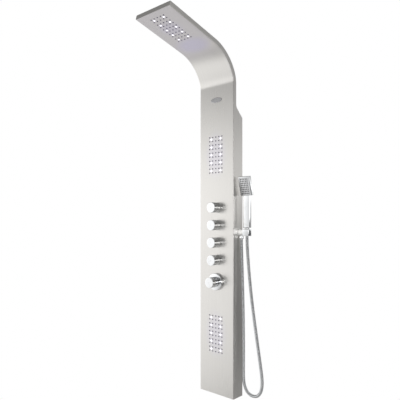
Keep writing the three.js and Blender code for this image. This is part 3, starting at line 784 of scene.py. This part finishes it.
for module, place in MODULES.items():
    bm = bmesh.new()
    bmesh.ops.create_cube(bm, size=1)
    bmesh.ops.scale(bm, vec=(MAT_WIDTH, MAT_THICKNESS, MAT_LENGTH), verts=bm.verts)
    bmesh.ops.translate(bm, vec=(0, MAT_FRONT + MAT_THICKNESS / 2, 0), verts=bm.verts)
    bmesh.ops.transform(bm, matrix=place, verts=bm.verts)
    mat = mesh_object(module + "_silicone_mat", bm)

    def window_holes(bm):
        for x, z in LAMPS:
            stamp(bm, window_drill, place @ Matrix.Translation((x, WINDOW_DEPTH, z)))

    cut_holes(mat, window_holes)
    bm = bmesh.new()
    bm.from_mesh(mat.data)
    for x, z in NOZZLES:
        stamp(bm, tip_shape, place @ Matrix.Translation((x, 0, z)))
    bm.to_mesh(mat.data)
    bm.free()
    smooth_by_angle(mat, 35)
    ride_root(mat, silicone.owner, "nozzle_silicone", module + "_nozzle_mat")
    bm = bmesh.new()
    for x, z in LAMPS:
        stamp(bm, lens_shape, place @ Matrix.Translation((x, 0, z)))
    lenses = mesh_object(module + "_lamp_lenses", bm)
    smooth_by_angle(lenses, 50)
    ride_root(lenses, lens.owner, "led_board")


# Badge.
# A small blank oval plate of polished steel with a raised rim, stuck on the front sheet below the
# bend. It carries no mark.

def polished(name, colour, roughness):
    """Bright plating: even, with the faint haze and water marks that a wiped fitting keeps."""
    plating = material(name, Metallic=1.0)
    haze = plating.add("TexNoise", inputs={"Vector": plating.position(), "Scale": 60.0, "Detail": 5.0})
    marks = haze.smooth(0.5, 0.72)
    darker = tuple(channel * 0.94 for channel in colour)
    finish(
        plating,
        Base_Color=plating.mixed(marks, (*colour, 1), (*darker, 1)),
        Roughness=marks * 0.08 + roughness,
    )
    return plating.owner


chrome = polished("chrome", (0.91, 0.92, 0.93), 0.05)
BADGE_ROUND = 0.6 * MM
BADGE_RIM = 1.2 * MM
BADGE_SLOPE = 0.4 * MM
BADGE_SUNK = 0.5 * MM
low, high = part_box("badge_plate")
bm = bmesh.new()
bmesh.ops.create_circle(bm, cap_ends=True, segments=64, radius=0.5)
bmesh.ops.rotate(bm, cent=(0, 0, 0), matrix=Matrix.Rotation(math.pi / 2, 3, "X"), verts=bm.verts)
bmesh.ops.scale(bm, vec=(high.x - low.x, 1, high.z - low.z), verts=bm.verts)
made = bmesh.ops.extrude_face_region(bm, geom=bm.faces[:])["geom"]
top = next(item for item in made if isinstance(item, bmesh.types.BMFace))
bmesh.ops.translate(bm, vec=(0, low.y - high.y, 0), verts=top.verts)
bmesh.ops.bevel(
    bm, geom=top.edges[:], offset=BADGE_ROUND, offset_type="OFFSET", affect="EDGES", segments=3,
    profile=0.5, material=-1,
)
bm.faces.ensure_lookup_table()
field = min(bm.faces, key=lambda face: face.calc_center_median().y)
bmesh.ops.inset_region(bm, faces=[field], thickness=BADGE_RIM, depth=0)
bmesh.ops.inset_region(bm, faces=[field], thickness=BADGE_SLOPE, depth=-BADGE_SUNK)
bmesh.ops.recalc_face_normals(bm, faces=bm.faces)
bmesh.ops.translate(bm, vec=(0, high.y, (low.z + high.z) / 2), verts=bm.verts)
badge = mesh_object("blank_badge", bm)
smooth_by_angle(badge, 35)
ride_root(badge, polished("badge_steel", (0.56, 0.56, 0.57), 0.2), "chrome", "badge_plate")


# Control knobs.
# Each is a turned cylinder of chromed brass, hollow at the back, with a stem pushed on its spindle.
# The face is flat with a small centre dimple, and the front edge is softly broken.

KNOB_RADIUS = 24 * MM
KNOB_WALL = 3 * MM
KNOB_HOLLOW = 20 * MM
STEM_RADIUS = 8 * MM
STEM_BORE = 4.4 * MM
SPINDLE_GAP = 0.3 * MM
DIMPLE_RADIUS = 1.6 * MM
DIMPLE_DEPTH = 0.5 * MM
GROOVE_FROM_BACK = 9 * MM
GROOVE_DEPTH = 1.2 * MM
for control in CONTROLS:
    low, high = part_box(control + "_knob")
    length = high.y - low.y
    bore_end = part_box(control + "_spindle")[0].y - low.y - SPINDLE_GAP
    hollow_end = length - KNOB_HOLLOW
    inner = KNOB_RADIUS - KNOB_WALL
    profile = [
        (0, DIMPLE_DEPTH), (DIMPLE_RADIUS, DIMPLE_DEPTH), (DIMPLE_RADIUS + 0.4 * MM, 0.05 * MM),
        (inner, 0), (KNOB_RADIUS, 0, 1.3 * MM), (KNOB_RADIUS, length, 0.6 * MM), (inner, length),
        (inner, hollow_end), (STEM_RADIUS, hollow_end), (STEM_RADIUS, length), (STEM_BORE, length),
        (STEM_BORE, bore_end), (0, bore_end),
    ]
    if control == "temperature":
        groove = length - GROOVE_FROM_BACK
        floor_radius = KNOB_RADIUS - GROOVE_DEPTH
        profile[5:5] = [
            (KNOB_RADIUS, groove, 0.5 * MM), (floor_radius, groove + 0.6 * MM),
            (floor_radius, groove + 1.8 * MM), (KNOB_RADIUS, groove + 2.4 * MM, 0.5 * MM),
        ]
    bm = bmesh.new()
    stamp(bm, turned("knob", profile, 64), Matrix.Translation((0, low.y, (low.z + high.z) / 2)))
    knob = mesh_object(control + "_handle", bm)
    smooth_by_angle(knob, 30)
    knob.data.materials.append(chrome)
    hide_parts(control + "_knob")
    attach(knob, control + "_control")

# Escutcheon: a thick chromed ring round the temperature spindle, drawn up against the sheet. The
# temperature knob stands in front of it.

RING_HOLE = 10 * MM
low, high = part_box("temperature_flange")
rim = (high.x - low.x) / 2
depth = high.y - low.y
ring = turned("escutcheon", [
    (RING_HOLE, depth), (rim, depth, 0.4 * MM), (rim, 0, 2.5 * MM), (RING_HOLE, 0), (RING_HOLE, depth),
], 72)
bm = bmesh.new()
stamp(bm, ring, Matrix.Translation((0, low.y, (low.z + high.z) / 2)))
escutcheon = mesh_object("escutcheon", bm)
smooth_by_angle(escutcheon, 30)
ride_root(escutcheon, chrome, "chrome", "temperature_flange")


# Holder with the hose outlet.
# A chromed brass block on a round shank through the right side. Its upright socket is open to
# the right so that the hose slides in, and the hose's outlet nut screws into its underside.

BLOCK_GAP = 0.3 * MM
BLOCK_ROUND = 1.6 * MM
SHANK_LAP = 3 * MM
SOCKET_RADIUS = 9 * MM
SLOT_WIDTH = 14.8 * MM
SLOT_LENGTH = 30 * MM
CUT_HEIGHT = 60 * MM
low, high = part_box("holder_block")
block_low = WIDTH / 2 + BLOCK_GAP
socket_middle = middle_of("hose_cone_nut")
bm = bmesh.new()
bmesh.ops.create_cube(bm, size=1)
bmesh.ops.scale(bm, vec=(high.x - block_low, high.y - low.y, high.z - low.z), verts=bm.verts)
bmesh.ops.bevel(
    bm, geom=bm.edges[:], offset=BLOCK_ROUND, offset_type="OFFSET", affect="EDGES", segments=4,
    profile=0.5, material=-1,
)
centre = ((block_low + high.x) / 2, (low.y + high.y) / 2, (low.z + high.z) / 2)
bmesh.ops.translate(bm, vec=centre, verts=bm.verts)
shank = bmesh.ops.create_cone(
    bm, cap_ends=True, segments=48, radius1=SHANK_RADIUS, radius2=SHANK_RADIUS, depth=1,
)["verts"]
shank_end = block_low + SHANK_LAP
bmesh.ops.scale(bm, vec=(1, 1, shank_end - low.x), verts=shank)
bmesh.ops.rotate(bm, cent=(0, 0, 0), matrix=Matrix.Rotation(math.pi / 2, 3, "Y"), verts=shank)
bmesh.ops.translate(bm, vec=((shank_end + low.x) / 2, *centre[1:]), verts=shank)
holder = mesh_object("hose_holder", bm)


def socket(bm):
    bore = bmesh.ops.create_cone(
        bm, cap_ends=True, segments=48, radius1=SOCKET_RADIUS, radius2=SOCKET_RADIUS, depth=CUT_HEIGHT,
    )["verts"]
    bmesh.ops.translate(bm, vec=(socket_middle.x, socket_middle.y, centre[2]), verts=bore)


def side_slot(bm):
    cut = bmesh.ops.create_cube(bm, size=1)["verts"]
    bmesh.ops.scale(bm, vec=(SLOT_LENGTH, SLOT_WIDTH, CUT_HEIGHT), verts=cut)
    cut_x = socket_middle.x + SLOT_LENGTH / 2
    bmesh.ops.translate(bm, vec=(cut_x, socket_middle.y, centre[2]), verts=cut)


cut_holes(holder, socket)
cut_holes(holder, side_slot)
smooth_by_angle(holder, 30)
ride_root(holder, chrome, "chrome", "holder_block")


# Hose nuts.
# The outlet nut under the holder is knurled for the fingers. The conical nut at the hand shower's
# foot hangs in the holder's socket by its shoulder.

OUTLET_RADIUS = 10 * MM
OUTLET_TOP_RADIUS = 9.3 * MM
OUTLET_SIDES = 72
FLUTE_DEPTH = 0.045
CONE_RADIUS = 11 * MM
SEAT_LEVEL = BOTTOM + 768.3 * MM


def turned_upright(name, profile, sides, node):
    """A turned piece on the upright axis of a CAD node, from (radius, height above its foot) points."""
    low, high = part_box(node)
    shape = turned(name, profile, sides)
    bm = bmesh.new()
    place = Matrix.Translation(((low.x + high.x) / 2, (low.y + high.y) / 2, low.z))
    stamp(bm, shape, place @ Matrix.Rotation(math.pi / 2, 4, "X"))
    return mesh_object(name, bm)


low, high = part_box("hose_outlet_nut")
tall = high.z - low.z
outlet_nut = turned_upright("knurled_outlet_nut", [
    (0, 0), (7.2 * MM, 0, 0.4 * MM), (9.2 * MM, 3 * MM), (OUTLET_RADIUS, 4 * MM, 0.3 * MM),
    (OUTLET_RADIUS, tall - 3 * MM, 0.3 * MM), (OUTLET_TOP_RADIUS, tall - 2.4 * MM),
    (OUTLET_TOP_RADIUS, tall), (0, tall),
], OUTLET_SIDES, "hose_outlet_nut")
bm = bmesh.new()
bm.from_mesh(outlet_nut.data)
axis = middle_of("hose_outlet_nut")
for vert in bm.verts:
    across = Vector((vert.co.x - axis.x, vert.co.y - axis.y, 0))
    side = round(math.atan2(across.y, across.x) / (2 * math.pi) * OUTLET_SIDES)
    if across.length > OUTLET_RADIUS - 0.1 * MM and side % 2:
        vert.co -= across * FLUTE_DEPTH
bm.to_mesh(outlet_nut.data)
bm.free()
smooth_by_angle(outlet_nut, 20)
ride_root(outlet_nut, chrome, "chrome", "hose_outlet_nut")

low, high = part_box("hose_cone_nut")
tall = high.z - low.z
seat = SEAT_LEVEL - low.z
cone_nut = turned_upright("cone_nut", [
    (0, 0), (7.4 * MM, 0, 0.5 * MM), (8.4 * MM, seat), (CONE_RADIUS, seat, 0.5 * MM),
    (CONE_RADIUS, tall - 1 * MM, 0.8 * MM), (9 * MM, tall), (0, tall),
], 64, "hose_cone_nut")
smooth_by_angle(cone_nut, 30)
cone_nut.data.materials.append(chrome)
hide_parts("hose_cone_nut")
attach(cone_nut, "hose_end")


# Hand shower.
# A flat chromed handle with round edges carries a rectangular spray head that leans forward. The
# grey face has eight rows of five soft nozzles, set in a shallow recess.

HANDLE_ROUND = 5.5 * MM
END_ROUND = 3 * MM
END_STEPS = 6
HEAD_LEAN = math.radians(14)
HEAD_WIDTH = 60 * MM
HEAD_LENGTH = 87 * MM
HEAD_THICKNESS = 17 * MM
HEAD_ROUND = 2.6 * MM
HEAD_FOOT = BOTTOM + 918 * MM
HEAD_FORWARD = 8 * MM
HEAD_GAP = 0.3 * MM
low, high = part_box("hand_shower_handle")
straight = high.z - low.z - END_ROUND
bm = bmesh.new()
bmesh.ops.create_cube(bm, size=1)
bmesh.ops.scale(bm, vec=(high.x - low.x, high.y - low.y, straight), verts=bm.verts)
upright = [edge for edge in bm.edges if abs((edge.verts[0].co - edge.verts[1].co).z) > straight / 2]
bmesh.ops.bevel(
    bm, geom=upright, offset=HANDLE_ROUND, offset_type="OFFSET", affect="EDGES", segments=8,
    profile=0.5, material=-1,
)
middle = Vector(((low.x + high.x) / 2, (low.y + high.y) / 2, high.z - straight / 2))
bmesh.ops.translate(bm, vec=middle, verts=bm.verts)
foot = min(bm.faces, key=lambda face: face.calc_center_median().z)
for step in range(END_STEPS):
    start = math.pi / 2 * step / END_STEPS
    end = math.pi / 2 * (step + 1) / END_STEPS
    bmesh.ops.inset_region(
        bm, faces=[foot], use_even_offset=True,
        thickness=END_ROUND * (math.cos(start) - math.cos(end)),
        depth=END_ROUND * (math.sin(end) - math.sin(start)),
    )
handle = mesh_object("hand_shower_grip", bm)

head_place = Matrix.Translation((middle.x, middle.y - HEAD_FORWARD, HEAD_FOOT))
head_place = head_place @ Matrix.Rotation(HEAD_LEAN, 4, "X")


def rounded_box(bm, size, corner, radius, segments):
    """A box from a corner, with all its edges rounded."""
    verts = bmesh.ops.create_cube(bm, size=1)["verts"]
    bmesh.ops.scale(bm, vec=size, verts=verts)
    bmesh.ops.translate(bm, vec=Vector(corner) + Vector(size) / 2, verts=verts)
    edges = list({edge for vert in verts for edge in vert.link_edges})
    bmesh.ops.bevel(
        bm, geom=edges, offset=radius, offset_type="OFFSET", affect="EDGES", segments=segments,
        profile=0.5, material=-1,
    )


bm = bmesh.new()
rounded_box(bm, (HEAD_WIDTH, HEAD_THICKNESS, HEAD_LENGTH), (-HEAD_WIDTH / 2, 0, 0), HEAD_ROUND, 5)
bmesh.ops.transform(bm, matrix=head_place, verts=bm.verts)
head = mesh_object("hand_shower_body", bm)
RECESS = Vector((48 * MM, 6 * MM, 76 * MM))
RECESS_CORNER = Vector((-RECESS.x / 2, -2 * MM, 5 * MM))
PLATE_GAP = 0.3 * MM
PLATE_FRONT = 0.4 * MM
PLATE_THICKNESS = 3.3 * MM
NUB_PITCH_ACROSS = 8.6 * MM
NUB_PITCH_UP = 9.2 * MM
NUB_FOOT = 11 * MM


def face_recess(bm):
    rounded_box(bm, RECESS, RECESS_CORNER, 1 * MM, 3)
    bmesh.ops.transform(bm, matrix=head_place, verts=bm.verts)


def head_clearance(bm):
    size = (HEAD_WIDTH + 2 * HEAD_GAP, HEAD_THICKNESS + 2 * HEAD_GAP, HEAD_LENGTH + HEAD_GAP)
    rounded_box(bm, size, (-HEAD_WIDTH / 2 - HEAD_GAP, -HEAD_GAP, -HEAD_GAP), HEAD_ROUND, 5)
    bmesh.ops.transform(bm, matrix=head_place, verts=bm.verts)


cut_holes(head, face_recess)
cut_holes(handle, head_clearance)

bm = bmesh.new()
plate_size = (RECESS.x - 2 * PLATE_GAP, PLATE_THICKNESS, RECESS.z - 2 * PLATE_GAP)
plate_corner = (RECESS_CORNER.x + PLATE_GAP, PLATE_FRONT, RECESS_CORNER.z + PLATE_GAP)
rounded_box(bm, plate_size, plate_corner, 0.8 * MM, 3)
nub = turned("nub", [
    (0, 0.1 * MM), (0.5 * MM, 0.1 * MM), (0.6 * MM, -0.9 * MM), (1.1 * MM, -0.9 * MM),
    (1.9 * MM, 0.9 * MM), (0, 0.9 * MM),
], 10)
seat_ring = turned("seat_ring", [
    (0, 0.15 * MM), (2.7 * MM, 0.15 * MM), (2.9 * MM, 0.9 * MM), (0, 0.9 * MM),
], 12)
face_plate = mesh_object("spray_face", bm)
bm = bmesh.new()
rings = bmesh.new()
for line in range(8):
    for column in range(5):
        across = (column - 2) * NUB_PITCH_ACROSS
        spot = Matrix.Translation((across, 0, NUB_FOOT + line * NUB_PITCH_UP))
        stamp(bm, nub, spot)
        stamp(rings, seat_ring, spot)
bmesh.ops.transform(bm, matrix=head_place, verts=bm.verts)
bmesh.ops.transform(rings, matrix=head_place, verts=rings.verts)
face_plate.data.transform(head_place)
nubs = mesh_object("spray_nozzles", bm)
sockets = mesh_object("spray_sockets", rings)
grey = material("spray_grey", Metallic=0.6)
grain = grey.add("TexNoise", inputs={"Vector": grey.position(), "Scale": 1500.0, "Detail": 2.0})
finish(
    grey,
    Base_Color=grain.graded((0.3, (0.84, 0.85, 0.86, 1)), (0.7, (0.93, 0.93, 0.94, 1))),
    Roughness=grain * 0.15 + 0.32,
    Normal=grey.add("Bump", inputs={"Strength": 0.08, "Distance": 0.0002, "Height": grain}),
)
rubber = material("nozzle_rubber", Roughness=0.5)
matt = rubber.add("TexNoise", inputs={"Vector": rubber.position(), "Scale": 500.0, "Detail": 3.0})
finish(rubber, Base_Color=matt.graded((0.3, (0.09, 0.09, 0.10, 1)), (0.7, (0.16, 0.16, 0.17, 1))))
for made, finish_material, slot, nodes in (
    (handle, chrome, "chrome", ["hand_shower_handle"]),
    (head, chrome, "chrome", ["hand_shower_head"]),
    (face_plate, grey.owner, "nozzle_grey", ["hand_shower_face"]),
    (nubs, rubber.owner, "nozzle_grey", []),
    (sockets, rubber.owner, "nozzle_grey", []),
):
    smooth_by_angle(made, 30)
    made.data.materials.append(finish_material)
    if nodes:
        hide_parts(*nodes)
    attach(made, "hand_shower")


# Inner hoses.
# Rubber hoses under a braid of stainless wire lead from the wall supplies to the valve and from the
# valve to the modules. They are pushed on their tails.

BRAID_SCALE = (2600, 2600, 1500)
braid = material("braided_hose", Metallic=1.0)
wires = braid.position(BRAID_SCALE)
along_x, along_y, along_z = (
    braid.add("SeparateXYZ", inputs={0: wires}, output=axis) for axis in range(3)
)
weave = (along_x + along_y + along_z).sine() * (along_x + along_y - along_z).sine()
raised = weave.smooth(-0.8, 0.8)
finish(
    braid,
    Base_Color=raised.graded((0.0, (0.42, 0.43, 0.44, 1)), (1.0, (0.74, 0.75, 0.76, 1))),
    Roughness=weave * 0.08 + 0.36,
    Normal=braid.add("Bump", inputs={"Strength": 0.35, "Distance": 0.0006, "Height": weave}),
)
INNER_HOSES = (
    "rain_pipe", "upper_jets_pipe", "lower_jets_pipe", "hand_outlet_pipe", "hot_inlet_hose",
    "cold_inlet_hose",
)
JOIN_ANGLE = math.radians(60)
for node in INNER_HOSES:
    bm = bmesh.new()
    bm.from_mesh(frame["nodes"][node].data)
    bmesh.ops.remove_doubles(bm, verts=bm.verts, dist=1e-5)
    bmesh.ops.join_triangles(
        bm, faces=bm.faces, angle_face_threshold=JOIN_ANGLE, angle_shape_threshold=JOIN_ANGLE,
    )
    pipe = mesh_object(node.replace("_pipe", "_braid").replace("_hose", "_braid"), bm)
    modifier = pipe.modifiers.new("round", "SUBSURF")
    modifier.levels = modifier.render_levels = 2
    apply_modifiers(pipe)
    smooth_by_angle(pipe, 60)
    ride_root(pipe, braid.owner, "braided_hose", node)


# Finishes of the inner parts.
# What the shell hides keeps its plain made shape: cast brass, zinc-plated brackets, moulded
# chambers and cartridges, and the lamp boards.

def cast(name, low, high, roughness, metallic, scale):
    """A cast, moulded or plated surface with mottled colour and a fine skin."""
    surface = material(name, Metallic=metallic)
    skin = surface.add("TexNoise", inputs={"Vector": surface.position(), "Scale": scale, "Detail": 6.0})
    finish(
        surface,
        Base_Color=skin.graded((0.3, (*low, 1)), (0.7, (*high, 1))),
        Roughness=skin * 0.2 + roughness - 0.1,
        Normal=surface.add("Bump", inputs={"Strength": 0.2, "Distance": 0.0003, "Height": skin}),
    )
    return surface.owner


board = material("lamp_board", Roughness=0.35)
tracks = board.add("TexBrick", inputs={"Vector": board.position((60, 60, 60)), "Scale": 2.0}, output=1)
finish(board, Base_Color=board.mixed(tracks, (0.86, 0.87, 0.90, 1), (0.55, 0.62, 0.58, 1)))
spangle = material("zinc_plate", Metallic=1.0)
crystal = spangle.add("TexVoronoi", inputs={"Vector": spangle.position(), "Scale": 180.0}, output=1)
level = spangle.add("SeparateXYZ", inputs={0: crystal})
finish(
    spangle,
    Base_Color=level.graded((0.0, (0.56, 0.58, 0.60, 1)), (1.0, (0.70, 0.72, 0.74, 1))),
    Roughness=level * 0.12 + 0.34,
)
INNER_FINISHES = {
    "brushed_steel": rear_steel,
    "chrome": chrome,
    "zinc_plated_steel": spangle.owner,
    "brass": cast("cast_brass", (0.64, 0.49, 0.25), (0.76, 0.61, 0.34), 0.34, 1.0, 240.0),
    "ceramic_cartridge": cast(
        "cartridge_plastic", (0.80, 0.78, 0.74), (0.88, 0.86, 0.82), 0.45, 0.0, 300.0,
    ),
    "grey_plastic": cast("grey_plastic", (0.55, 0.56, 0.58), (0.64, 0.65, 0.67), 0.5, 0.0, 260.0),
    "nozzle_silicone": silicone.owner,
    "led_board": board.owner,
    "braided_hose": braid.owner,
    "hose_spiral": spiral.owner,
    "nozzle_grey": grey.owner,
}
for part in frame["record"]["subparts"]:
    data = frame["nodes"][part["node"]].data
    data.materials.clear()
    data.materials.append(INNER_FINISHES[part["material_slot"]])


# Hose centres.
# Every fourth centre of the hose, and its last one, are gathered into a list that nothing uses.

centres[::4] + [centres[-1]]
